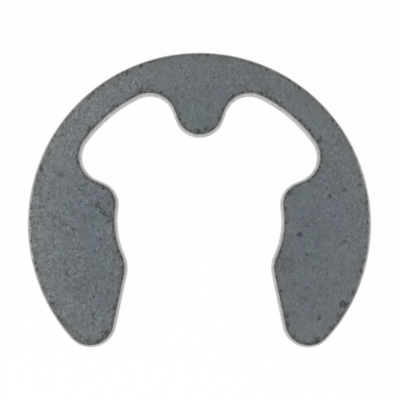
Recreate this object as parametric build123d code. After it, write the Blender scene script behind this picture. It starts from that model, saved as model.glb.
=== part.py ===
from build123d import *
from collections import namedtuple
from math import asin, atan2, copysign, cos, degrees, isclose, radians, sin, sqrt
import os

# Retaining ring (E-clip) that is pushed sideways into the groove of a shaft.
# It is stamped in one piece from spring steel strip and lies on z = 0.
# The shaft's axis is Z through the origin, the nub hangs from the crown on the +Y side
# and the mouth opens towards -Y. All sizes are millimetres and degrees.

# Strip and outer edge
thickness = 1.2
outer_diameter = 20.0
bore_offset = 0.16  # the shaft's axis lies this far above the centre of the outer edge

# The three places that grip the groove: two seats and the nub between them
bore_diameter = 9.56  # across the seats, with the clip relaxed
nub_width = 2.95  # the nub's tip is a full round
nub_relief = 0.08  # the nub's tip stands this far outside the bore circle

# Relief recesses between the nub and the seats, which leave a springy band round the crown
band_width = 1.9
recess_corner_radius = 1.43
recess_floor_angle = 23.5  # the side next to the seat rises outwards at this angle

# Ends of each seat: a shoulder beside the recess and a nose that snaps past the shaft
shoulder_radius = 1.35
shoulder_angle = 9.0  # above the X axis, seen from the shaft's axis
nose_radius = 1.75
nose_angle = 24.8  # below the X axis, seen from the shaft's axis

# Mouth and prong tips
lead_in_angle = 11.7  # each side of the mouth opens outwards by this much
tip_radius = 1.5

# Stamped edge, from the face that met the die up to the face that met the punch
die_roll_radius = 0.12
land_height = 0.45  # top of the smooth sheared land, above z = 0
break_inset = 0.13  # the torn zone above the land leans in by this much at the top face

# A round of the outline: its radius is negative where it is cut out of the metal
Round = namedtuple("Round", "centre radius")

outer_radius = outer_diameter / 2
bore_radius = bore_diameter / 2
outer_centre = Vector(0, -bore_offset)
recess_wall_radius = outer_radius - band_width


def direction(angle):
    """Unit vector at an angle from the X axis."""
    return Vector(cos(radians(angle)), sin(radians(angle)))


def reach_from(start, way, reach):
    """Point on the line from start along way that is this far from the outer edge's centre."""
    offset = start - outer_centre
    along = offset.dot(way)
    return start + way * (sqrt(along**2 - offset.dot(offset) + reach**2) - along)


def right_side_rounds():
    """Rounds met on the way from the nub down to the tip of the right prong."""
    # The seat is part of the bore circle, and runs into a shoulder and a nose that touch it
    seat = Round(Vector(0, 0), -bore_radius)
    shoulder_reach = bore_radius + shoulder_radius
    shoulder = Round(direction(shoulder_angle) * shoulder_reach, shoulder_radius)
    nose_reach = bore_radius + nose_radius
    nose = Round(direction(-nose_angle) * nose_reach, nose_radius)

    # Inner corner of the recess: touches the nub's flank and the recess wall
    corner_reach = recess_wall_radius - recess_corner_radius
    beside_nub = Vector(nub_width / 2 + recess_corner_radius, 0)
    inner_corner = Round(reach_from(beside_nub, Vector(0, 1), corner_reach), -recess_corner_radius)
    recess_wall = Round(outer_centre, -recess_wall_radius)

    # Outer corner of the recess: touches the recess wall and the floor, which touches the shoulder
    up_floor = direction(recess_floor_angle)
    above_floor = direction(recess_floor_angle + 90)
    floor_start = shoulder.centre + above_floor * (shoulder_radius + recess_corner_radius)
    outer_corner = Round(reach_from(floor_start, up_floor, corner_reach), -recess_corner_radius)

    # Prong tip: touches the lead-in, which touches the nose, and the outer edge
    down_lead_in = direction(lead_in_angle - 90)
    into_prong = direction(lead_in_angle)
    tip_start = nose.centre + into_prong * (tip_radius - nose_radius)
    tip = Round(reach_from(tip_start, down_lead_in, outer_radius - tip_radius), tip_radius)
    return [inner_corner, recess_wall, outer_corner, shoulder, seat, nose, tip]


def outline_rounds():
    """Rounds of the whole outline, in order and with the metal on the left."""
    nub_radius = nub_width / 2
    nub = Round(Vector(0, bore_radius + nub_relief + nub_radius), nub_radius)
    outer_edge = Round(outer_centre, outer_radius)
    right = right_side_rounds()
    left = [Round(Vector(-r.centre.X, r.centre.Y), r.radius) for r in reversed(right)]
    return [nub, *right, outer_edge, *left]


def lean(first, second):
    """Sine of the angle from the straight that touches two rounds to their line of centres."""
    across = (second.radius - first.radius) / (second.centre - first.centre).length
    return max(-1, min(1, across))


def heading_between(first, second):
    """Heading of the straight that touches two rounds, each on its own side."""
    span = second.centre - first.centre
    return degrees(atan2(span.Y, span.X) - asin(lean(first, second)))


def point_on(round_, heading):
    """Point of a round where the outline has this heading."""
    return round_.centre - direction(heading + 90) * round_.radius


def outline():
    """Closed outline: an arc along each round, and the straights that touch two of them."""
    rounds = outline_rounds()
    following = rounds[1:] + rounds[:1]
    headings = [heading_between(a, b) for a, b in zip(rounds, following)]
    start = point_on(rounds[0], headings[-1])
    edges = []
    for i, this in enumerate(rounds):
        turn = (headings[i] - headings[i - 1]) % copysign(360, this.radius)
        middle = point_on(this, headings[i - 1] + turn / 2)
        arc = ThreePointArc(start, middle, point_on(this, headings[i]))
        start = arc @ 1
        edges.append(arc)
        if not isclose(abs(lean(this, following[i])), 1):  # rounds that touch need no straight
            straight = Line(start, point_on(following[i], headings[i]))
            start = straight @ 1
            edges.append(straight)
    return Wire(edges)


def retaining_ring():
    """Blank with the edge that the press leaves: rolled below, torn and leaning in above."""
    blank = extrude(Face(outline()), thickness)
    top = blank.faces().sort_by(Axis.Z)[-1]
    torn = chamfer(top.edges(), break_inset, thickness - land_height, reference=top)
    bottom = torn.faces().sort_by(Axis.Z)[0]
    ring = fillet(bottom.edges(), die_roll_radius)
    ring.label = "retaining_ring"
    return ring


os.makedirs("parts", exist_ok=True)
export_step(retaining_ring(), "parts/retaining_ring.step")
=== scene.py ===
"""A retaining ring blanked from spring steel and phosphate coated, lying burr side up on a table."""

from math import pi, radians

import bmesh
import bpy
import numpy as np
from mathutils import Matrix, Quaternion, Vector
from mathutils.geometry import delaunay_2d_cdt
from mathutils.kdtree import KDTree


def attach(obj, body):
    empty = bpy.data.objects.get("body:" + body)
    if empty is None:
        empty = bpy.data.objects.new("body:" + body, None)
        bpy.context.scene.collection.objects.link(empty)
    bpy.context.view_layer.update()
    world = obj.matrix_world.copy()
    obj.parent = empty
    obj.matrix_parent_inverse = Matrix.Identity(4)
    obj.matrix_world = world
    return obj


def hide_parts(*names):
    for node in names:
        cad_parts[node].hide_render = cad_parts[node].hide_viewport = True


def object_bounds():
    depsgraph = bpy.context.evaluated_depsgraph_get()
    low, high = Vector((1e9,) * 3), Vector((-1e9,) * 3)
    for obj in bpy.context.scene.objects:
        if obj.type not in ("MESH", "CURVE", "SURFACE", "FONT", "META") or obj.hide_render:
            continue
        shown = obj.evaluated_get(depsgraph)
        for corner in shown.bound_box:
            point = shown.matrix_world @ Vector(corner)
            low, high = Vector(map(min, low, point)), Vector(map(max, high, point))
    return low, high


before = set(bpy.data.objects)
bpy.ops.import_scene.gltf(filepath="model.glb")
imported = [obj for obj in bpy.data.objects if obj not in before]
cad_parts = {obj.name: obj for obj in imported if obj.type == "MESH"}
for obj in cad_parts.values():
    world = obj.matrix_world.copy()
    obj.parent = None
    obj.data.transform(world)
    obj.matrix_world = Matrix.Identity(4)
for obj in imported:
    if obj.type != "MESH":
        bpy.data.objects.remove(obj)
cad_low, cad_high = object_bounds()

MM = 0.001

# The cut edge, from the table up: rolled over, sheared clean, then torn and leaning in
THICKNESS = cad_high.z - cad_low.z
DIE_ROLL = 0.12 * MM
LAND_HEIGHT = 0.45 * MM
EDGE_BREAK = 0.13 * MM
TORN_RUN_IN = 0.12 * MM  # above the land, the tearing reaches its full depth over this height

# How finely the ring's skin is divided
EDGE_PITCH = 0.05 * MM
FACETS_EASED = 0.10 * MM
KEEP_INSIDE = 0.002 * MM
BURR_SIDE_RINGS = (0.025 * MM, 0.06 * MM, 0.11 * MM)
ROLLED_SIDE_RINGS = (0.06 * MM,)
BURR_SIDE_PITCH = 0.085 * MM
ROLLED_SIDE_PITCH = 0.13 * MM
GRID_CLEARANCE = 0.6  # of its pitch, between the grid and the innermost ring
TORN_POINTS = 11
LAND_POINTS = 4
ROLL_POINTS = 6
SHARP_BEND = 0.7  # radians between two faces, above which their edge stays crisp
WELD = 0.003 * MM
SAME_PLACE = 0.001 * MM

# Depths of the marks that blanking, tumbling and coating leave, all cut into the metal
NICK_DEPTH = 0.055 * MM
NICK_REACH = 0.13 * MM
TORN_DEPTH = 0.022 * MM
STREAK_DEPTH = 0.006 * MM
GRAIN_DEPTH = 0.005 * MM
PIT_DEPTH = 0.014 * MM
RAGGED_SHARE = 0.32  # of a nick's depth, for the rim's finer unevenness
SPARED_SHARE = 0.25  # of a nick's depth, where the outer edge takes no knocks
SUNK_SHARE = 0.55  # of a nick's depth, by which it also lowers the burr side
COAT_RELIEF = 0.006 * MM
EDGE_RELIEF = 0.008 * MM
RELIEF_STRENGTH = 0.5
SEED = 7.0

# Grains, cells, clouds or streaks of each pattern to a millimetre
CHIPS_PER_MM = 3.0
RAGGED_PER_MM = 9.0
PITS_PER_MM = 2.6
TORN_PER_MM = 6.5
STREAKS_PER_MM = 8.0
GRAIN_PER_MM = 3.4
CRYSTALS_PER_MM = 8.5
CLUMPS_PER_MM = 3.2
BLOOMS_PER_MM = 0.9
GLINTS_PER_MM = 6.5
DOTS_PER_MM = 6.4
RIDGES_PER_MM = 4.2
RIM_MARKS_PER_MM = 3.6
RIM_PATCHES_PER_MM = 3.2
RIM_BEADS_PER_MM = 6.0
HUES_PER_MM = 1.25
WARM_PATCHES_PER_MM = 1.5

# How much each pattern lightens or darkens the coat, as a share of its colour
CRYSTAL_CONTRAST = 2.5
CLUMP_CONTRAST = 0.75
BLOOM_CONTRAST = 0.3
GLINT_GAIN = 0.95
RIDGE_GAIN = 0.22
DOT_GAIN = -0.26
# Painted shade near the rim
RIM_SHADE_GAIN = -0.07
# Painted shade in the hollows
HOLLOW_SHADE_GAIN = -0.58
PIT_SHARE = 0.7  # of a hollow's darkness, in the small pits
WHOLE_GAIN = 0.99
# Painted light: the coat is painted lighter to the left, the side the light comes from, and darker to the
# right
PAINTED_LIGHT_PER_MM_ACROSS = -0.004

# The painted shade along the burr side's rim: its width on the flat side and on the cut edge, in millimetres
RIM_LINE_WIDTH = 0.08
RIM_LINE_WIDTH_ON_EDGE = 0.035

# Two single places, in millimetres from the bore's axis: a stretch of rim with less painted shade, and a dark
# scuff
RIM_SHADE_LIGHT_SEAT = (4.7, -1.6)
SCUFF_ON_EDGE = (8.6, -5.2, 0.8)

# The larger marks of the burr side: across, up, reach and strength, in millimetres from the bore's axis
DENTS = (
    (9.6, -2.2, 0.13, 0.9),
    (9.3, -2.9, 0.13, 0.9),
    (8.9, -4.1, 0.14, 0.9),
    (8.3, -4.8, 0.28, 1.0),
    (8.0, -5.5, 0.15, 0.9),
    (7.6, -6.2, 0.14, 0.9),
    (6.9, -5.6, 0.16, 0.9),
    (6.8, -6.9, 0.20, 1.0),
    (6.1, -4.5, 0.12, 0.9),
    (5.0, -5.5, 0.16, 1.0),
    (5.1, -6.0, 0.13, 0.9),
    (5.5, -6.7, 0.15, 0.9),
    (5.2, 1.6, 0.23, 1.0),
    (7.0, 4.7, 0.18, 1.0),
    (8.4, 1.8, 0.16, 0.9),
    (9.3, 2.1, 0.15, 0.9),
    (7.5, 1.4, 0.13, 0.9),
    (5.8, -0.8, 0.16, 1.0),
    (8.4, -1.2, 0.13, 0.9),
    (-0.1, 5.2, 0.22, 1.0),
    (0.4, 5.3, 0.17, 0.9),
    (-3.4, 7.5, 0.18, 0.9),
    (-3.4, 9.0, 0.16, 0.9),
    (-6.4, 7.1, 0.15, 0.9),
    (-6.4, 5.3, 0.17, 0.9),
    (-8.1, 2.7, 0.14, 0.9),
    (-9.2, 2.9, 0.16, 0.9),
    (-5.2, 1.0, 0.15, 0.7),
    (-5.9, 0.9, 0.16, 1.0),
    (-5.7, 0.65, 0.12, 0.9),
    (-5.5, 0.4, 0.20, 1.0),
    (-5.2, 0.3, 0.16, 0.8),
    (-5.2, -0.1, 0.14, 0.8),
    (-7.3, -0.5, 0.14, 0.9),
    (-9.4, -2.8, 0.15, 0.9),
    (-9.1, -3.9, 0.13, 0.9),
    (-8.5, -4.8, 0.14, 0.9),
    (-7.9, -5.8, 0.14, 0.9),
    (-5.4, -6.5, 0.24, 1.0),
    (-5.8, -7.0, 0.22, 0.8),
    (-6.4, -6.9, 0.16, 0.8),
)

# Areas where the coat came out paler or darker, bluer or greener, and where the left side is partly painted
# light, paler at the top and darker at the foot: across, up, reach, paler, bluer
AREAS = (
    (-6.7, 6.0, 3.2, 0.12, 0.1),
    (-8.9, 3.9, 1.6, 0.06, 0.0),
    (-9.2, 0.9, 2.2, 0.06, -0.3),
    (-7.4, 1.0, 2.3, -0.02, 0.25),
    (-7.0, -4.8, 3.2, -0.06, 0.5),
    (0.3, 8.6, 2.4, -0.01, 0.9),
    (0.0, 5.6, 1.6, 0.0, -0.3),
    (5.8, 5.4, 2.5, 0.04, 0.0),
    (6.8, 1.2, 2.6, 0.0, 0.35),
    (7.0, -3.5, 4.0, -0.02, 0.5),
    (4.8, -2.4, 0.9, -0.18, 0.0),
    (-5.8, -0.4, 1.6, 0.0, -0.35),
    (5.8, 6.7, 2.0, 0.0, 0.35),
    (-5.6, -2.6, 2.2, -0.03, 0.25),
    (8.6, 2.7, 1.8, 0.03, 0.15),
    (5.8, -4.9, 2.2, -0.03, 0.05),
    (-1.2, 9.0, 1.6, 0.01, 0.2),
    (1.4, 7.6, 1.4, -0.025, 0.0),
)

# The view from above
VIEW_WIDTH = 23.15 * MM
CAMERA_ROLL = radians(0.06)
CAMERA_EYE = (-0.15 * MM, -3.4 * MM, 120.0 * MM)
CAMERA_AIM = (0.03 * MM, 1.195 * MM, THICKNESS)
SENSOR_WIDTH = 36.0
NEAREST_SEEN = 10 * MM
FARTHEST_SEEN = 10.0

# Table and light
TABLE_HALF = 400 * MM
TABLE_GLOW = 0.95  # of what the eye sees of the table, so that the rest still takes a shadow
SKY_LIGHT = 0.70
KEY_PLACE = (-25 * MM, -50 * MM, 110 * MM)
KEY_SIZE = 130 * MM
KEY_WATTS = 0.08

# Colours
WHITE = (1.0, 1.0, 1.0, 1.0)
TABLE_WHITE = (0.9, 0.9, 0.9, 1.0)
COAT_GREENISH = (0.105, 0.131, 0.135, 1.0)
COAT_BLUISH = (0.104, 0.121, 0.143, 1.0)
# Paler towards the outside, and more so on the left as painted light
COAT_OUTER_PALE = (0.129, 0.145, 0.151, 1.0)
COAT_WARM = (0.122, 0.124, 0.123, 1.0)
# Bare metal, which also stands for a painted highlight along the outer rim
COAT_BARED_AND_LIT = (0.290, 0.295, 0.295, 1.0)
# The cut edge's pale grey is painted light, from the white table round it
EDGE_GREY_PAINTED_LIT = (0.520, 0.525, 0.523, 1.0)

# Sheen
COAT_METALLIC = 0.25
EDGE_METALLIC = 0.5
COAT_ROUGHNESS = 0.66
CRYSTAL_ROUGHNESS = 0.35
HOLLOW_ROUGHNESS = 0.12


class Bench:
    """Puts nodes in a tree and joins them up."""

    def __init__(self, tree):
        self.tree = tree

    def put(self, kind, inputs=None, **settings):
        """One node, with its settings made and its inputs given as values or other nodes' sockets."""
        node = self.tree.nodes.new(kind)
        for name, value in settings.items():
            setattr(node, name, value)
        for name, value in (inputs or {}).items():
            self.feed(value, node.inputs[name])
        return node

    def feed(self, value, socket):
        """Gives a socket a value, or joins it to another node's socket."""
        if isinstance(value, bpy.types.NodeSocket):
            self.tree.links.new(value, socket)
        else:
            socket.default_value = value

    def step(self, kind, operation, values):
        """One node of arithmetic, with its inputs filled in order."""
        node = self.put(kind, operation=operation)
        for value, socket in zip(values, node.inputs):
            self.feed(value, socket)
        return node

    def sum(self, operation, *values, clamp=False):
        """One step of arithmetic."""
        node = self.step("ShaderNodeMath", operation, values)
        node.use_clamp = clamp
        return node.outputs[0]

    def vector(self, operation, *values):
        """One step of vector arithmetic that gives a vector."""
        return self.step("ShaderNodeVectorMath", operation, values).outputs[0]

    def measure(self, operation, *values):
        """One step of vector arithmetic that gives a number."""
        return self.step("ShaderNodeVectorMath", operation, values).outputs["Value"]

    def times(self, vector, factor):
        """A vector made longer by a factor."""
        node = self.put("ShaderNodeVectorMath", {"Vector": vector, "Scale": factor}, operation="SCALE")
        return node.outputs[0]

    def product(self, *values):
        """Several numbers multiplied together."""
        total = values[0]
        for value in values[1:]:
            total = self.sum("MULTIPLY", total, value)
        return total

    def part(self, vector, axis):
        """One coordinate of a vector."""
        return self.put("ShaderNodeSeparateXYZ", {"Vector": vector}).outputs[axis]

    def centred(self, value):
        """A value that lies about 0.5, moved to lie about 0."""
        return self.sum("SUBTRACT", value, 0.5)

    def ramp(self, value, start, end, low=0.0, high=1.0, easing="SMOOTHSTEP"):
        """Runs from low to high as value goes from start to end, and holds still outside them."""
        ends = {"From Min": start, "From Max": end, "To Min": low, "To Max": high}
        node = self.put("ShaderNodeMapRange", {"Value": value, **ends}, interpolation_type=easing)
        return node.outputs["Result"]

    def noise(self, where, scale, detail=2.0, roughness=0.5, seed=0.0, distortion=0.0):
        """Soft cloudy noise about 0.5, with its scale per millimetre."""
        made = {"Vector": where, "W": seed, "Scale": scale, "Detail": detail}
        made.update({"Roughness": roughness, "Distortion": distortion})
        node = self.put("ShaderNodeTexNoise", made, noise_dimensions="4D")
        return node.outputs[0]

    def specks(self, where, scale, seed=0.0):
        """Points scattered over the flat sides: how far the nearest is, and a random value that it keeps."""
        shift_across = self.sum("MULTIPLY_ADD", self.part(where, "Z"), 0.5, seed)
        shift = self.put("ShaderNodeCombineXYZ", {"X": shift_across, "Y": seed})
        spread = {"Vector": self.vector("ADD", where, shift.outputs[0]), "Scale": scale}
        node = self.put("ShaderNodeTexVoronoi", spread, voronoi_dimensions="2D")
        return node.outputs["Distance"], self.part(node.outputs["Color"], "X")

    def looked_at(self):
        """1 where the eye sees a thing, straight or in steel or glass, 0 where the thing only gives light."""
        path = self.put("ShaderNodeLightPath").outputs
        straight_or_in_steel = self.sum("MAXIMUM", path["Is Camera Ray"], path["Is Glossy Ray"])
        return self.sum("MAXIMUM", straight_or_in_steel, path["Is Transmission Ray"])


# ---------------------------------------------------------------- the ring's outline and flat sides


def land_outline(node):
    """The ring's outline at the top of its sheared land, counterclockwise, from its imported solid."""
    solid = bmesh.new()
    solid.from_mesh(node.data)
    bmesh.ops.remove_doubles(solid, verts=solid.verts, dist=SAME_PLACE)
    level = [v for v in solid.verts if abs(v.co.z - LAND_HEIGHT) < SAME_PLACE]
    on_level = set(level)
    loop = [level[0]]
    last = None
    while True:
        beside = [e.other_vert(loop[-1]) for e in loop[-1].link_edges]
        ahead = [v for v in beside if v in on_level and v is not last]
        last = loop[-1]
        if len(loop) > 2 and loop[0] in ahead:
            break
        loop.append(ahead[0])
    points = np.array([v.co.to_2d() for v in loop])
    solid.free()
    return points if enclosed(points) > 0 else points[::-1]


def enclosed(loop):
    """The area in a loop, positive if it runs counterclockwise."""
    ahead = np.roll(loop, -1, axis=0)
    return 0.5 * float(np.sum(loop[:, 0] * ahead[:, 1] - loop[:, 1] * ahead[:, 0]))


def evenly_spaced(loop, pitch):
    """Points along a closed loop, about a pitch apart."""
    closed = np.vstack([loop, loop[:1]])
    run = np.concatenate([[0.0], np.cumsum(np.linalg.norm(np.diff(closed, axis=0), axis=1))])
    stops = np.linspace(0.0, run[-1], int(round(run[-1] / pitch)), endpoint=False)
    return np.column_stack([np.interp(stops, run, closed[:, axis]) for axis in (0, 1)])


def blurred(loop, reach):
    """A closed loop of even points, each one averaged with its neighbours."""
    span = int(4 * reach) + 1
    steps = np.arange(-span, span + 1)
    weights = np.exp(-0.5 * (steps / reach) ** 2)
    weights /= weights.sum()
    return sum(w * np.roll(loop, int(s), axis=0) for w, s in zip(weights, steps))


def eased(loop, reach):
    """Rounds off a loop's facets, and keeps the size of its curves."""
    once = blurred(loop, reach)
    return 2.0 * once - blurred(once, reach)


def outward_of(loop):
    """The outward direction at each point of a counterclockwise loop."""
    ahead = np.roll(loop, -1, axis=0) - loop
    ahead /= np.linalg.norm(ahead, axis=1, keepdims=True)
    along = ahead + np.roll(ahead, 1, axis=0)
    along /= np.linalg.norm(along, axis=1, keepdims=True)
    return np.column_stack([along[:, 1], -along[:, 0]])


def spans_inside(loop, height):
    """Where a level line crosses a loop, in order."""
    ahead = np.roll(loop, -1, axis=0)
    cut = (loop[:, 1] > height) != (ahead[:, 1] > height)
    a, b = loop[cut], ahead[cut]
    share = (height - a[:, 1]) / (b[:, 1] - a[:, 1])
    crossings = np.sort(a[:, 0] + share * (b[:, 0] - a[:, 0]))
    return crossings.reshape(-1, 2)


def finder(points):
    """Finds the nearest of some flat points, with its number and how far off it is."""
    tree = KDTree(len(points))
    for number, (x, y) in enumerate(points):
        tree.insert((x, y, 0.0), number)
    tree.balance()
    return tree


def grid_inside(loop, pitch):
    """Points of a triangular grid that lie inside a loop and clear of it."""
    nearest = finder(loop)
    lowest, highest = loop[:, 1].min(), loop[:, 1].max()
    row_height = pitch * 3 ** 0.5 / 2
    kept = []
    for row in range(int((highest - lowest) / row_height)):
        height = lowest + (row + 0.5) * row_height
        shift = 0.5 * (row % 2)
        for start, end in spans_inside(loop, height):
            first = int(np.ceil(start / pitch - shift))
            last = int(np.floor(end / pitch - shift))
            places = [((step + shift) * pitch, height) for step in range(first, last + 1)]
            kept += [p for p in places if nearest.find((*p, 0.0))[2] > GRID_CLEARANCE * pitch]
    return np.array(kept)


def flat_side(rim, outward, rings, pitch, height, facing_up):
    """One flat side of the ring: its points, its triangles and the way out to the nearest edge."""
    loops = [rim] + [rim - depth * outward for depth in rings]
    points = np.vstack(loops + [grid_inside(loops[-1], pitch)])
    edge = [list(range(len(rim)))]
    made = delaunay_2d_cdt([Vector(p) for p in points], [], edge, 1, 1e-9)
    flat, triangles = np.array([tuple(v) for v in made[0]]), made[2]
    nearest = finder(rim)
    on_rim = [nearest.find((x, y, 0.0))[1] for x, y in flat]
    solid = np.column_stack([flat, np.full(len(flat), height)])
    turned = [t if facing_up else t[::-1] for t in triangles]
    return solid, turned, outward[on_rim]


def blank_sides(outline):
    """The blank's two flat sides as one mesh, which still lacks its cut edge."""
    outward = outward_of(outline)
    burr_rim = outline - EDGE_BREAK * outward
    rolled_rim = outline - DIE_ROLL * outward
    burr = flat_side(burr_rim, outward, BURR_SIDE_RINGS, BURR_SIDE_PITCH, THICKNESS, True)
    rolled = flat_side(rolled_rim, outward, ROLLED_SIDE_RINGS, ROLLED_SIDE_PITCH, 0.0, False)
    first = len(burr[0])
    triangles = burr[1] + [[i + first for i in t] for t in rolled[1]]
    mesh = bpy.data.meshes.new("blank")
    mesh.from_pydata(np.vstack([burr[0], rolled[0]]).tolist(), [], triangles)
    ways = np.vstack([burr[2], rolled[2]])
    ways = np.column_stack([ways, np.zeros(len(ways))]).astype(np.float32)
    out = mesh.attributes.new("outward", "FLOAT_VECTOR", "POINT")
    out.data.foreach_set("vector", ways.ravel())
    return mesh


# ---------------------------------------------------------------- the stamping, as a node tree

# The stamping's named sizes, in the order of its inputs
STAMPING_SIZES = {
    "Thickness": THICKNESS,
    "Land height": LAND_HEIGHT,
    "Die roll": DIE_ROLL,
    "Edge break": EDGE_BREAK,
    "Nick depth": NICK_DEPTH,
    "Nick reach": NICK_REACH,
    "Torn depth": TORN_DEPTH,
    "Torn run-in": TORN_RUN_IN,
    "Streak depth": STREAK_DEPTH,
    "Grain depth": GRAIN_DEPTH,
    "Pit depth": PIT_DEPTH,
    "Seed": SEED,
    "Weld": WELD,
}


def stamping_tree():
    """Sweeps the cut edge round the blank's burr side, closes it with the rolled side and wears it."""
    tree = bpy.data.node_groups.new("stamped_ring", "GeometryNodeTree")
    face = tree.interface
    face.new_socket("Blank", in_out="INPUT", socket_type="NodeSocketGeometry")
    for name in STAMPING_SIZES:
        face.new_socket(name, in_out="INPUT", socket_type="NodeSocketFloat")
    for name in ("Flat finish", "Edge finish"):
        face.new_socket(name, in_out="INPUT", socket_type="NodeSocketMaterial")
    face.new_socket("Ring", in_out="OUTPUT", socket_type="NodeSocketGeometry")
    bench = Bench(tree)
    given = bench.put("NodeGroupInput").outputs
    rim = burr_rim(bench, given)
    edge = cut_edge(bench, given, rim)
    sides = marked(bench, given["Blank"], "cut", 0.0)
    skin = joined(bench, edge, sides)
    welded = bench.put("GeometryNodeMergeByDistance", {"Geometry": skin, "Distance": given["Weld"]})
    to_rim = nearest_on_rim(bench, rim)
    measured = marked(bench, welded.outputs[0], "edge_distance", to_rim["Distance"], "POINT")
    worn = wear(bench, given, measured, to_rim["Position"])
    bench.put("NodeGroupOutput", {"Ring": finishes(bench, given, worn)})
    return tree


def attribute(bench, name, kind="FLOAT"):
    """The value that a named attribute holds."""
    return bench.put("GeometryNodeInputNamedAttribute", {"Name": name}, data_type=kind).outputs[0]


def marked(bench, shape, name, value, domain="FACE"):
    """Keeps a value on a shape under a name."""
    made = {"Geometry": shape, "Name": name, "Value": value}
    return bench.put("GeometryNodeStoreNamedAttribute", made, data_type="FLOAT", domain=domain).outputs[0]


def joined(bench, *parts):
    """Several shapes as one."""
    node = bench.put("GeometryNodeJoinGeometry")
    for part in parts:
        bench.feed(part, node.inputs[0])
    return node.outputs[0]


def burr_rim(bench, given):
    """The edge of the burr side as a closed curve that runs counterclockwise."""
    height = bench.part(bench.put("GeometryNodeInputPosition").outputs[0], "Z")
    upper = bench.sum("GREATER_THAN", height, bench.sum("MULTIPLY", given["Thickness"], 0.5))
    faces_beside = bench.put("GeometryNodeInputMeshEdgeNeighbors").outputs[0]
    open_edge = bench.sum("LESS_THAN", faces_beside, 1.5)
    chosen = {"Mesh": given["Blank"], "Selection": bench.sum("MULTIPLY", upper, open_edge)}
    rim = bench.put("GeometryNodeMeshToCurve", chosen).outputs[0]
    tangent = bench.put("GeometryNodeInputTangent").outputs[0]
    right_hand = bench.vector("CROSS_PRODUCT", tangent, (0.0, 0.0, 1.0))
    agrees = bench.measure("DOT_PRODUCT", right_hand, attribute(bench, "outward", "FLOAT_VECTOR"))
    wrong_way = bench.sum("LESS_THAN", agrees, 0.0)
    turned = bench.put("GeometryNodeReverseCurve", {"Curve": rim, "Selection": wrong_way}).outputs[0]
    return bench.put("GeometryNodeSetCurveNormal", {"Curve": turned}, mode="Z_UP").outputs[0]


def straight(bench, start, end, count):
    """A straight part of the edge's section, in even steps."""
    made = bench.put("GeometryNodeCurvePrimitiveLine", {"Start": start, "End": end}).outputs[0]
    return bench.put("GeometryNodeResampleCurve", {"Curve": made, "Count": count}).outputs[0]


def place(bench, out, down):
    """A point of the edge's section."""
    return bench.put("ShaderNodeCombineXYZ", {"X": out, "Y": down}).outputs[0]


def cut_edge(bench, given, rim):
    """The section of the cut edge, from the burr side down, swept along the rim."""
    thick, lean, roll = given["Thickness"], given["Edge break"], given["Die roll"]
    land_top = place(bench, lean, bench.sum("SUBTRACT", thick, given["Land height"]))
    land_end = bench.sum("SUBTRACT", thick, roll)
    torn = straight(bench, (0.0, 0.0, 0.0), land_top, TORN_POINTS)
    land = straight(bench, land_top, place(bench, lean, land_end), LAND_POINTS)
    quarter = {"Resolution": ROLL_POINTS, "Radius": roll, "Start Angle": 0.0, "Sweep Angle": pi / 2}
    arc = bench.put("GeometryNodeCurveArc", quarter).outputs[0]
    centre = place(bench, bench.sum("SUBTRACT", lean, roll), land_end)
    rolled = bench.put("GeometryNodeTransform", {"Geometry": arc, "Translation": centre}).outputs[0]
    section = joined(bench, torn, land, rolled)
    swept = bench.put("GeometryNodeCurveToMesh", {"Curve": rim, "Profile Curve": section}).outputs[0]
    return marked(bench, swept, "cut", 1.0)


def nearest_on_rim(bench, rim):
    """The place on the burr side's rim that is nearest to each point, and how far off it is."""
    wire = bench.put("GeometryNodeCurveToMesh", {"Curve": rim}).outputs[0]
    near = bench.put("GeometryNodeProximity", target_element="EDGES")
    bench.feed(wire, near.inputs[0])
    return near.outputs


def wear(bench, given, shape, rim_place):
    """Cuts the nicks, the torn grain, the shear streaks and the pits into the skin."""
    here = bench.times(bench.put("GeometryNodeInputPosition").outputs[0], 1.0 / MM)
    tilt = bench.part(bench.put("GeometryNodeInputNormal").outputs[0], "Z")
    flat = bench.ramp(bench.sum("ABSOLUTE", tilt), 0.9, 0.99)
    near_rim = bench.ramp(attribute(bench, "edge_distance"), 0.0, given["Nick reach"], 1.0, 0.0, "LINEAR")

    # On a flat side the rim's marks are those of the nearest place on it, so that no face folds over
    off_rim = bench.vector("SUBTRACT", bench.times(rim_place, 1.0 / MM), here)
    source = bench.vector("ADD", here, bench.times(off_rim, flat))
    nick = nicks(bench, given, here, source, near_rim)
    side = tearing(bench, given, source, flat, near_rim)
    level = flat_relief(bench, given, here, flat)

    outward = attribute(bench, "outward", "FLOAT_VECTOR")
    inward = bench.times(outward, bench.sum("MULTIPLY", bench.sum("ADD", nick, side), -1.0))
    sunk = bench.product(nick, SUNK_SHARE, bench.sum("GREATER_THAN", tilt, 0.2))
    drop = bench.sum("ADD", bench.product(level, bench.sum("SIGN", tilt)), sunk)
    fall = bench.put("ShaderNodeCombineXYZ", {"Z": bench.sum("MULTIPLY", drop, -1.0)}).outputs[0]
    move = {"Geometry": shape, "Offset": bench.vector("ADD", inward, fall)}
    return bench.put("GeometryNodeSetPosition", move).outputs[0]


def nicks(bench, given, here, source, near_rim):
    """How deep the rim is nicked, and less where the outer edge takes no knocks."""
    ragged = bench.sum("MULTIPLY", ragged_rim(bench, source, given["Seed"]), RAGGED_SHARE)
    bite = bench.sum("MAXIMUM", chips(bench, source, given["Seed"]), ragged)
    kept = bench.ramp(spared(bench, here), 0.0, 1.0, 1.0, SPARED_SHARE, "LINEAR")
    return bench.product(bite, near_rim, given["Nick depth"], kept)


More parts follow.
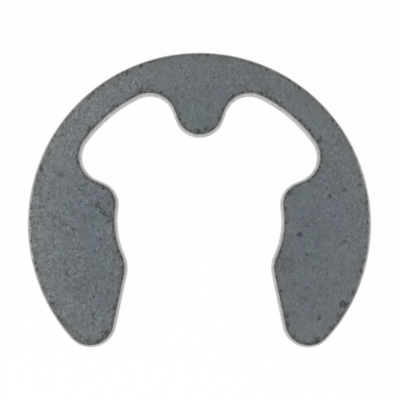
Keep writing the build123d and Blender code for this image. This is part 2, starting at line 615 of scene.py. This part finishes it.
def tearing(bench, given, source, flat, near_rim):
    """How deep the torn grain and the shear streaks go, on the cut edge and just over its rim."""
    height = bench.part(bench.put("GeometryNodeInputPosition").outputs[0], "Z")
    full_from = bench.sum("ADD", given["Land height"], given["Torn run-in"])
    above_land = bench.ramp(height, given["Land height"], full_from)
    torn = bench.product(torn_grain(bench, source, given["Seed"]), above_land, given["Torn depth"])
    streaks = bench.product(shear_streaks(bench, source, given["Seed"]), given["Streak depth"])
    upright = bench.sum("SUBTRACT", 1.0, flat)
    return bench.product(bench.sum("ADD", torn, streaks), bench.sum("MAXIMUM", upright, near_rim))


def flat_relief(bench, given, here, flat):
    """How deep the grain and the pits go on the flat sides."""
    cloudy = bench.noise(here, GRAIN_PER_MM, 4.0, 0.65, given["Seed"])
    grain = bench.product(bench.ramp(cloudy, 0.4, 0.8, easing="LINEAR"), given["Grain depth"])
    sunk_pits = bench.product(pits(bench, here, given["Seed"]), given["Pit depth"])
    return bench.product(bench.sum("ADD", grain, sunk_pits), flat)


def finishes(bench, given, shape):
    """Smooth shading with crisp edges, and a finish for the flat sides and for the cut edge."""
    smooth = bench.put("GeometryNodeSetShadeSmooth", {"Geometry": shape, "Shade Smooth": True}).outputs[0]
    bend = bench.put("GeometryNodeInputMeshEdgeAngle").outputs[0]
    sharp = bench.sum("GREATER_THAN", bend, SHARP_BEND)
    bent = {"Geometry": smooth, "Selection": sharp, "Shade Smooth": False}
    crisp = bench.put("GeometryNodeSetShadeSmooth", bent, domain="EDGE").outputs[0]
    real = bench.put("GeometryNodeRealizeInstances", {"Geometry": crisp}).outputs[0]
    coated = {"Geometry": real, "Material": given["Flat finish"]}
    flat = bench.put("GeometryNodeSetMaterial", coated).outputs[0]
    on_edge = bench.sum("GREATER_THAN", attribute(bench, "cut"), 0.5)
    made = {"Geometry": flat, "Selection": on_edge, "Material": given["Edge finish"]}
    return bench.put("GeometryNodeSetMaterial", made).outputs[0]


def socket_of(tree, name):
    """The identifier of a tree's named input."""
    return next(item.identifier for item in tree.interface.items_tree if item.name == name)


def drop_empty_slots(mesh):
    """Takes out the material slots that no face uses."""
    kept = [i for i, finish in enumerate(mesh.materials) if finish]
    finishes_kept = [mesh.materials[i] for i in kept]
    numbers = np.zeros(len(mesh.polygons), dtype=np.int32)
    mesh.polygons.foreach_get("material_index", numbers)
    mesh.materials.clear()
    for finish in finishes_kept:
        mesh.materials.append(finish)
    mesh.polygons.foreach_set("material_index", np.searchsorted(kept, numbers).astype(np.int32))
    mesh.update()


def stamped_ring(blank, flat_finish, edge_finish):
    """Runs the stamping on the blank and keeps the result as a plain mesh."""
    tree = stamping_tree()
    before = bpy.data.objects.new("ring_blank", blank)
    bpy.context.scene.collection.objects.link(before)
    stamping = before.modifiers.new("stamping", "NODES")
    stamping.node_group = tree
    values = {**STAMPING_SIZES, "Flat finish": flat_finish, "Edge finish": edge_finish}
    for name, value in values.items():
        stamping[socket_of(tree, name)] = value
    depsgraph = bpy.context.evaluated_depsgraph_get()
    mesh = bpy.data.meshes.new_from_object(before.evaluated_get(depsgraph))
    bpy.data.objects.remove(before)
    mesh.name = "stamped_ring"
    drop_empty_slots(mesh)
    ring = bpy.data.objects.new("stamped_ring", mesh)
    bpy.context.scene.collection.objects.link(ring)
    return ring


# ---------------------------------------------------------------- patterns of the shape and the finishes


def on_outer_edge(bench, here):
    """1 along the outer edge, 0 in the bore, the recesses and the mouth and round the tips."""
    past_tip = bench.sum("MULTIPLY_ADD", bench.part(here, "X"), -0.12, bench.part(here, "Y"))
    far_out = bench.ramp(bench.measure("LENGTH", here), 8.7, 9.3)
    return bench.product(far_out, bench.ramp(past_tip, -6.6, -5.2))


def on_flanks(bench, here):
    """1 level with the bore, where the outer edge takes its knocks, 0 towards the crown and the tips."""
    up = bench.sum("SUBTRACT", bench.part(here, "Y"), 0.3)
    return bench.ramp(bench.sum("ABSOLUTE", up), 2.5, 4.8, 1.0, 0.0)


def spared(bench, here):
    """1 where the outer edge takes no knocks, 0 at its flanks and inside the ring."""
    return bench.product(on_outer_edge(bench, here), bench.sum("SUBTRACT", 1.0, on_flanks(bench, here)))


def chips(bench, here, seed):
    """Where the burr side's rim is chipped: 1 in a chip, 0 where the rim is whole."""
    return bench.ramp(bench.noise(here, CHIPS_PER_MM, 2.0, 0.55, seed), 0.56, 0.74)


def ragged_rim(bench, here, seed):
    """The finer unevenness of a torn rim."""
    return bench.ramp(bench.noise(here, RAGGED_PER_MM, 2.0, 0.6, seed), 0.35, 0.8)


def pits(bench, here, seed):
    """Small pits in the flat sides: 1 at the bottom of a pit."""
    apart, lot = bench.specks(here, PITS_PER_MM, seed)
    return bench.product(bench.ramp(apart, 0.26, 0.06), bench.ramp(lot, 0.80, 0.98))


def torn_grain(bench, here, seed):
    """The coarse grain of metal that tore instead of shearing."""
    squat = bench.vector("MULTIPLY", here, (1.0, 1.0, 0.55))
    return bench.ramp(bench.noise(squat, TORN_PER_MM, 3.0, 0.6, seed), 0.36, 0.75, easing="LINEAR")


def shear_streaks(bench, here, seed):
    """Upright scores that the die draws down the edge."""
    tall = bench.vector("MULTIPLY", here, (1.0, 1.0, 0.06))
    return bench.ramp(bench.noise(tall, STREAKS_PER_MM, 2.0, 0.6, seed), 0.38, 0.72, easing="LINEAR")


# ---------------------------------------------------------------- finishes


def bench_for(holder):
    """The emptied node tree of a material or of the world, ready to be filled."""
    holder.use_nodes = True
    holder.node_tree.nodes.clear()
    return Bench(holder.node_tree)


def new_finish(name):
    """An empty material, its bench, and the place on the piece in millimetres."""
    material = bpy.data.materials.new(name)
    bench = bench_for(material)
    place_on = bench.put("ShaderNodeTexCoord").outputs["Object"]
    return material, bench, bench.times(place_on, 1.0 / MM)


def close_finish(bench, colour, metallic, rough, level, relief_depth):
    """Ends a finish: its colour, how metallic and how rough it is, and its fine relief."""
    made = {"Strength": RELIEF_STRENGTH, "Distance": relief_depth, "Height": level}
    relief = bench.put("ShaderNodeBump", made).outputs[0]
    made = {"Base Color": colour, "Metallic": metallic, "Roughness": rough, "Normal": relief}
    shade = bench.put("ShaderNodeBsdfPrincipled", made)
    bench.put("ShaderNodeOutputMaterial", {"Surface": shade.outputs[0]})


def from_rim(bench):
    """How far a place is from the burr side's rim, in millimetres."""
    apart = bench.put("ShaderNodeAttribute", attribute_name="edge_distance").outputs["Fac"]
    return bench.sum("MULTIPLY", apart, 1.0 / MM)


def away_from(bench, here, across, up, height=THICKNESS / MM):
    """How far each place is from one place on the ring, in millimetres."""
    return bench.measure("LENGTH", bench.vector("SUBTRACT", here, (across, up, height)))


def blend_colour(bench, share, first, second):
    """One colour giving way to another."""
    node = bench.put("ShaderNodeMix", {"Factor": share}, data_type="RGBA")
    bench.feed(first, node.inputs[6])
    bench.feed(second, node.inputs[7])
    return node.outputs[2]


def dents(bench, here):
    """The few larger marks that tumbling left on the burr side."""
    ruffled = bench.noise(here, 8.0, 3.0, 0.7, SEED + 3.0)
    swerve = bench.sum("MULTIPLY", bench.centred(ruffled), 0.9)
    total = 0.0
    for across, up, reach, depth in DENTS:
        edge = bench.sum("ADD", away_from(bench, here, across, up), swerve)
        total = bench.sum("MAXIMUM", bench.ramp(edge, reach, reach * 0.5, 0.0, depth), total)
    broken = bench.noise(here, 9.0, 2.0, 0.6, SEED + 11.0)
    return bench.product(total, bench.ramp(broken, 0.38, 0.52, 0.5, 1.15))


def areas(bench, here):
    """How much paler and how much bluer the coat is, place by place, the paleness on the left partly painted
    light.
    """
    paler, bluer = 0.0, 0.0
    for across, up, reach, gain, hue in AREAS:
        share = bench.ramp(away_from(bench, here, across, up), 0.2 * reach, 1.2 * reach, 1.0, 0.0)
        paler = bench.sum("MULTIPLY_ADD", share, gain, paler)
        bluer = bench.sum("MULTIPLY_ADD", share, hue, bluer)
    return paler, bluer


def painted_rim_shade(bench, here, apart, shelter, width):
    """Painted shade along the burr side's rim, where its edge rounds over: dark and broken, and weaker round
    the outer edge.
    """
    ragged = bench.sum("MULTIPLY", ragged_rim(bench, here, SEED), 0.6)
    bitten = bench.sum("MAXIMUM", chips(bench, here, SEED), ragged)
    depth = bench.sum("MULTIPLY_ADD", bitten, 2.0 * width, width)
    depth = bench.product(depth, bench.ramp(bench.part(here, "Y"), -6.2, -7.1, 1.0, 1.35))
    line = bench.ramp(bench.sum("DIVIDE", apart, depth), 0.7, 1.9, 1.0, 0.0)
    patches = bench.noise(here, RIM_PATCHES_PER_MM, 3.0, 0.7, SEED + 7.0)
    patches = bench.ramp(patches, 0.32, 0.62, 0.35, 1.0)
    beads = bench.noise(here, RIM_BEADS_PER_MM, 1.0, 0.5, SEED + 14.0)
    beads = bench.ramp(beads, 0.38, 0.60, 0.35, 1.55)
    return bench.product(line, bench.product(patches, beads), shelter)


def sheltered(bench, here):
    """How strongly the rim's painted shade and dark marks tell: 1 in the mouth, at the tips and in the
    recesses, less round the outer edge and at one seat.
    """
    outer_loss = bench.ramp(bench.part(here, "Y"), 6.0, 9.6, -1.0, -0.55)
    shelter = bench.sum("MULTIPLY_ADD", on_outer_edge(bench, here), outer_loss, 1.0)
    lighter_seat = bench.ramp(away_from(bench, here, *RIM_SHADE_LIGHT_SEAT), 1.8, 4.4, 0.5, 0.0)
    return bench.sum("SUBTRACT", shelter, lighter_seat)


def coat_colour(bench, here, apart, bluer):
    """The coat's hue: greenish and bluish by turns, warmer by the edges and paler towards the outside, more
    so on the left as painted light.
    """
    rolled_out = bench.vector("MULTIPLY", here, (1.0, 0.6, 1.0))
    hue = bench.ramp(bench.noise(rolled_out, HUES_PER_MM, 3.0, 0.65, SEED), 0.40, 0.60)
    colour = blend_colour(bench, bench.sum("ADD", hue, bluer, clamp=True), COAT_GREENISH, COAT_BLUISH)
    outside = bench.ramp(bench.measure("LENGTH", here), 6.2, 10.0)
    # Painted light: the outer paleness is stronger on the left, the side the light comes from
    lit_on_left = bench.ramp(bench.part(here, "X"), 8.0, -8.0, 0.55, 1.0)
    colour = blend_colour(bench, bench.product(outside, lit_on_left), colour, COAT_OUTER_PALE)
    patch = bench.noise(here, WARM_PATCHES_PER_MM, 4.0, 0.75, SEED + 8.0)
    by_edge = bench.ramp(apart, 0.05, 0.7, 0.55, 0.0)
    warmth = bench.sum("MULTIPLY_ADD", bench.centred(patch), 2.6, by_edge)
    return blend_colour(bench, bench.sum("ADD", warmth, 0.15, clamp=True), colour, COAT_WARM)


def painted_glints(bench, here, near_edge):
    """Painted glints: single crystals painted bright as if they caught the light, and a few more near the
    edge, where some are pale chips of bare metal.
    """
    drawn = bench.vector("MULTIPLY", here, (1.2, 0.55, 1.0))
    away, lot = bench.specks(drawn, GLINTS_PER_MM, SEED + 5.0)
    odds = bench.sum("MULTIPLY_ADD", near_edge, 0.13, lot)
    return bench.product(bench.ramp(away, 0.34, 0.05), bench.ramp(odds, 0.80, 1.0))


def dots(bench, here):
    """Small dull dots between the crystals."""
    drawn = bench.vector("MULTIPLY", here, (1.0, 0.75, 1.0))
    away, lot = bench.specks(drawn, DOTS_PER_MM, SEED + 10.0)
    return bench.product(bench.ramp(away, 0.40, 0.08), bench.ramp(lot, 0.60, 1.0))


def ridges(bench, here):
    """Winding pale lines where crystals have grown together."""
    winding = bench.centred(bench.noise(here, RIDGES_PER_MM, 1.0, 0.5, SEED + 12.0))
    ridge = bench.ramp(bench.sum("ABSOLUTE", winding), 0.0, 0.045, 1.0, 0.0)
    stretch = bench.ramp(bench.noise(here, 2.4, 2.0, 0.6, SEED + 13.0), 0.46, 0.62)
    return bench.product(ridge, stretch)


def coat_gain(bench, here, near_edge, crystals, paler):
    """How much lighter or darker than its colour the coat is: crystals, clumps, blooms, painted glints and
    dots, and painted light that makes it lighter to the left.
    """
    across = bench.part(here, "X")
    clumps = bench.noise(here, CLUMPS_PER_MM, 2.0, 0.6, SEED + 2.0)
    grain = bench.sum("MULTIPLY", bench.centred(crystals), CRYSTAL_CONTRAST)
    grain = bench.sum("MULTIPLY_ADD", bench.centred(clumps), CLUMP_CONTRAST, grain)
    # Painted glints, where crystals are painted as if they caught the light
    grain = bench.sum("MULTIPLY_ADD", painted_glints(bench, here, near_edge), GLINT_GAIN, grain)
    grain = bench.sum("MULTIPLY_ADD", dots(bench, here), DOT_GAIN, grain)
    grain = bench.sum("MULTIPLY_ADD", ridges(bench, here), RIDGE_GAIN, grain)

    # The grain tells more on the left prong and in some patches than in others
    grainy_patches = bench.noise(here, 0.7, 2.0, 0.5, SEED + 9.0)
    grainy = bench.product(
        bench.ramp(across, 1.0, -6.0, 0.74, 1.12),
        bench.ramp(grainy_patches, 0.35, 0.65, 0.7, 1.3),
    )
    blooms = bench.noise(here, BLOOMS_PER_MM, 2.0, 0.5, SEED + 4.0)
    gain = bench.sum("ADD", paler, WHOLE_GAIN)
    gain = bench.sum("MULTIPLY_ADD", bench.centred(blooms), BLOOM_CONTRAST, gain)
    # Painted light: lighter to the left, darker to the right
    gain = bench.sum("MULTIPLY_ADD", across, PAINTED_LIGHT_PER_MM_ACROSS, gain)
    return bench.sum("MULTIPLY_ADD", grain, grainy, gain)


def rim_marks(bench, here, apart, crystals, shelter):
    """Ragged dark marks scattered along the burr side's rim."""
    away, lot = bench.specks(here, RIM_MARKS_PER_MM, SEED + 6.0)
    jagged = bench.sum("MULTIPLY_ADD", bench.centred(crystals), 0.9, away)
    odds = bench.sum("MULTIPLY_ADD", bench.ramp(apart, 0.0, 0.33, 1.0, 0.0), 0.60, lot)
    marks = bench.product(bench.ramp(jagged, 0.50, 0.22), bench.ramp(odds, 0.96, 1.12))
    return bench.product(marks, bench.ramp(shelter, 0.0, 0.5, 0.75, 1.0))


def hollows(bench, here, apart, crystals, shelter):
    """Every dark mark of the flat sides, painted as shade: pits, rim marks, dents and the painted shade along
    the rim.
    """
    small = bench.sum("MULTIPLY", pits(bench, here, SEED), PIT_SHARE)
    hollow = bench.sum("MAXIMUM", small, rim_marks(bench, here, apart, crystals, shelter))
    hollow = bench.sum("MAXIMUM", hollow, dents(bench, here))
    # Painted shade along the rim
    line = painted_rim_shade(bench, here, apart, shelter, RIM_LINE_WIDTH)
    line = bench.product(line, bench.ramp(apart, 0.0, 0.10, 0.3, 0.80))
    return bench.sum("MAXIMUM", hollow, line)


def phosphate_coated_face():
    """Matt blue-grey phosphate with fine crystals and pits, painted glints, painted shade in its hollows and
    in an uneven dark line where it meets the edge, and painted light that makes its left side lighter.
    """
    material, bench, here = new_finish("phosphate_coated_face")
    apart = from_rim(bench)
    shelter = sheltered(bench, here)
    rolled_out = bench.vector("MULTIPLY", here, (1.0, 0.7, 1.0))
    crystals = bench.noise(rolled_out, CRYSTALS_PER_MM, 3.0, 0.8, SEED + 1.0, 0.5)
    near_edge = bench.ramp(apart, 0.0, 0.38, 1.0, 0.0)
    hollow = hollows(bench, here, apart, crystals, shelter)

    paler, bluer = areas(bench, here)
    # Painted shade: the coat is a little darker near the rim, most in the mouth, at the tips and in the
    # recesses
    shade_by_rim = bench.sum("MULTIPLY_ADD", bench.product(near_edge, shelter), RIM_SHADE_GAIN, 1.0)
    # Painted shade: the hollows are painted darker
    shade_in_hollows = bench.sum("MULTIPLY_ADD", hollow, HOLLOW_SHADE_GAIN, 1.0)
    gain = bench.product(coat_gain(bench, here, near_edge, crystals, paler), shade_by_rim, shade_in_hollows)
    knocked = bench.product(on_outer_edge(bench, here), on_flanks(bench, here))
    # Pale along the outer rim at the flanks: bare metal, and a painted highlight where the rounded edge
    # catches the light
    bared_and_lit = bench.product(bench.ramp(apart, 0.02, 0.10, 0.8, 0.0), knocked)
    colour = blend_colour(bench, bared_and_lit, coat_colour(bench, here, apart, bluer), COAT_BARED_AND_LIT)
    rough = bench.sum("MULTIPLY_ADD", bench.centred(crystals), CRYSTAL_ROUGHNESS, COAT_ROUGHNESS)
    rough = bench.sum("MULTIPLY_ADD", hollow, HOLLOW_ROUGHNESS, rough)
    level = bench.sum("MULTIPLY_ADD", hollow, -0.9, bench.sum("MULTIPLY", crystals, 1.6))
    close_finish(bench, bench.times(colour, gain), COAT_METALLIC, rough, level, COAT_RELIEF)
    return material


def sheared_edge():
    """The cut edge: a pale grey over the sheared land and the torn grain above it, painted light from the
    white table round it, and the coat's colour over the die roll.
    """
    material, bench, here = new_finish("sheared_edge")
    apart = from_rim(bench)
    height = bench.part(here, "Z")
    land_top = LAND_HEIGHT / MM
    torn = bench.ramp(height, land_top - 0.04, land_top + 0.10)
    rolled = bench.ramp(height, 0.0, DIE_ROLL / MM + 0.04, 1.0, 0.0)
    grain = torn_grain(bench, here, SEED)
    streaks = shear_streaks(bench, here, SEED)

    # The torn grain darkens the cut edge, and its top next to the rim is darker still as painted shade
    broken = bench.sum("MULTIPLY_ADD", grain, 0.36, bench.ramp(apart, 0.0, 0.5, 0.36, 0.0))
    gain = bench.sum("MULTIPLY_ADD", bench.product(broken, torn), -1.0, 1.06)
    gain = bench.sum("MULTIPLY_ADD", bench.sum("SUBTRACT", streaks, 0.4), -0.16, gain)
    # Painted shade on the cut edge just below the rim
    rim = painted_rim_shade(bench, here, apart, sheltered(bench, here), RIM_LINE_WIDTH_ON_EDGE)
    gain = bench.product(gain, bench.ramp(rim, 0.0, 1.0, 1.0, 0.55, "LINEAR"))
    # The outer edge is darker away from its flanks, partly dirt and partly painted shade
    gain = bench.product(gain, bench.ramp(spared(bench, here), 0.0, 1.0, 1.0, 0.76, "LINEAR"))
    scuffed = bench.ramp(away_from(bench, here, *SCUFF_ON_EDGE), 0.7, 1.9, 1.0, 0.0)
    scuff = bench.product(scuffed, bench.ramp(grain, 0.1, 0.6, 1.0, 0.5))
    gain = bench.product(gain, bench.ramp(scuff, 0.0, 1.0, 1.0, 0.45, "LINEAR"))

    torn_off = bench.product(grain, torn)
    # Painted light: the cut edge's pale grey, giving way to the coat's colour over the die roll
    colour = blend_colour(bench, bench.sum("MULTIPLY", rolled, 0.9), EDGE_GREY_PAINTED_LIT, COAT_GREENISH)
    rough = bench.ramp(torn_off, 0.0, 1.0, 0.36, 0.6, "LINEAR")
    level = bench.sum("MULTIPLY_ADD", torn_off, -1.0, bench.sum("MULTIPLY", streaks, -0.5))
    close_finish(bench, bench.times(colour, gain), EDGE_METALLIC, rough, level, EDGE_RELIEF)
    return material


def white_table():
    """A white table that shows white to the eye and to the steel, and still takes the ring's shadow."""
    material = bpy.data.materials.new("white_table")
    bench = bench_for(material)
    matt = bench.put("ShaderNodeBsdfDiffuse", {"Color": TABLE_WHITE})
    glow = bench.put("ShaderNodeEmission", {"Color": WHITE, "Strength": 1.0})
    mixed = bench.put("ShaderNodeMixShader", {"Fac": bench.sum("MULTIPLY", bench.looked_at(), TABLE_GLOW)})
    bench.feed(matt.outputs[0], mixed.inputs[1])
    bench.feed(glow.outputs[0], mixed.inputs[2])
    bench.put("ShaderNodeOutputMaterial", {"Surface": mixed.outputs[0]})
    return material


# ---------------------------------------------------------------- table, light and camera


def table_top():
    """A wide plain table at the height that the ring lies on."""
    corners = [(-1, -1), (1, -1), (1, 1), (-1, 1)]
    mesh = bpy.data.meshes.new("table_top")
    mesh.from_pydata([(x * TABLE_HALF, y * TABLE_HALF, 0.0) for x, y in corners], [], [(0, 1, 2, 3)])
    mesh.materials.append(white_table())
    table = bpy.data.objects.new("table_top", mesh)
    bpy.context.scene.collection.objects.link(table)


def studio_world():
    """Even light from all round, which the eye and the steel see as white."""
    world = bpy.data.worlds.new("studio")
    bpy.context.scene.world = world
    bench = bench_for(world)
    strength = bench.ramp(bench.looked_at(), 0.0, 1.0, SKY_LIGHT, 1.0, "LINEAR")
    glow = bench.put("ShaderNodeBackground", {"Color": WHITE, "Strength": strength})
    bench.put("ShaderNodeOutputWorld", {"Surface": glow.outputs[0]})


def softbox(name, place_at, aim, size, watts):
    """A square soft lamp that faces one place."""
    lamp = bpy.data.lights.new(name, "AREA")
    lamp.shape = "SQUARE"
    lamp.size = size
    lamp.energy = watts
    holder = bpy.data.objects.new(name, lamp)
    holder.location = place_at
    holder.rotation_euler = (Vector(aim) - Vector(place_at)).to_track_quat("-Z", "Y").to_euler()
    bpy.context.scene.collection.objects.link(holder)


def overhead_camera():
    """A camera that looks almost straight down on the ring, with the mouth at the foot of the view."""
    camera = bpy.data.cameras.new("overhead")
    stand = bpy.data.objects.new("overhead", camera)
    bpy.context.scene.collection.objects.link(stand)
    eye, aim = Vector(CAMERA_EYE), Vector(CAMERA_AIM)
    back = (eye - aim).normalized()
    right = Vector((0.0, 1.0, 0.0)).cross(back).normalized()
    right.rotate(Quaternion(back, CAMERA_ROLL))
    stand.location = eye
    stand.rotation_mode = "QUATERNION"
    stand.rotation_quaternion = Matrix((right, back.cross(right), back)).transposed().to_quaternion()
    camera.sensor_width = SENSOR_WIDTH
    camera.lens = SENSOR_WIDTH * (aim - eye).length / VIEW_WIDTH
    camera.clip_start = NEAREST_SEEN
    camera.clip_end = FARTHEST_SEEN
    bpy.context.scene.camera = stand


outline = land_outline(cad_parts["retaining_ring"])
outline = eased(evenly_spaced(outline, EDGE_PITCH), FACETS_EASED / EDGE_PITCH)
outline = outline - KEEP_INSIDE * outward_of(outline)
ring = stamped_ring(blank_sides(outline), phosphate_coated_face(), sheared_edge())
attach(ring, "root")
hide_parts("retaining_ring")

table_top()
studio_world()
softbox("key_softbox", KEY_PLACE, (0.0, 0.0, 0.0), KEY_SIZE, KEY_WATTS)
overhead_camera()
bpy.context.scene.view_settings.view_transform = "Standard"
